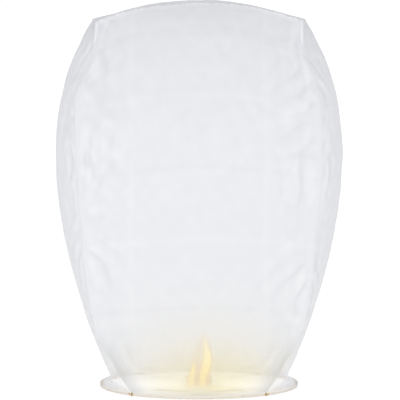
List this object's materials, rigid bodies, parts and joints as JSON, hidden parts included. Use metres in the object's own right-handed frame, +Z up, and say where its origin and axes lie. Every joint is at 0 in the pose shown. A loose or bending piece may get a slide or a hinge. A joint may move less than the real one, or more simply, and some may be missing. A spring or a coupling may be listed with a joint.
{
  "type": "sky lantern",
  "caption": "Paper sky lantern: barrel-shaped envelope of tapered gores with a square crown, on a bamboo hoop whose crossed wires carry a square fuel cell.",
  "frame": {"origin": "on the floor under the hoop's centre, with the lantern standing on its mouth", "axes": "+Z up, from the mouth to the crown; -Y out of the front gore; +X out of the right gore"},
  "size_m": [0.5482, 0.5482, 0.7311],
  "materials": {
    "tissue_paper": "matte, thin and translucent",
    "bamboo": "split and scraped",
    "paper_tape": "matte",
    "iron_wire": "drawn and annealed, dull grey",
    "waxed_layer": "soaked in wax, satin"
  },
  "bodies": {
    "rim": {"bamboo_hoop": "bamboo", "splice_tape_1": "paper_tape", "splice_tape_2": "paper_tape", "hem_front": "tissue_paper", "hem_right": "tissue_paper", "hem_back": "tissue_paper", "hem_left": "tissue_paper", "cross_wire_lower": "iron_wire", "cross_wire_upper": "iron_wire", "fuel_tie": "iron_wire", "gore_front": "tissue_paper", "gore_right": "tissue_paper", "gore_back": "tissue_paper", "gore_left": "tissue_paper"},
    "crown": {"crown_panel": "tissue_paper"},
    "fuel_cell": {"fuel_layer_1": "waxed_layer", "fuel_layer_2": "waxed_layer", "fuel_layer_3": "waxed_layer", "fuel_layer_4": "waxed_layer", "fuel_layer_5": "waxed_layer"}
  },
  "joints": [
    {"name": "envelope_collapse", "type": "slide", "parent": "rim", "child": "crown", "axis": [0, 0, -1], "range_m": [0, 0.627], "deforming": ["gore_front", "gore_right", "gore_back", "gore_left"]},
    {"name": "fuel_cell_lift", "type": "slide", "parent": "rim", "child": "fuel_cell", "axis": [0, 0, 1], "range_m": [0, 0.022]}
  ]
}
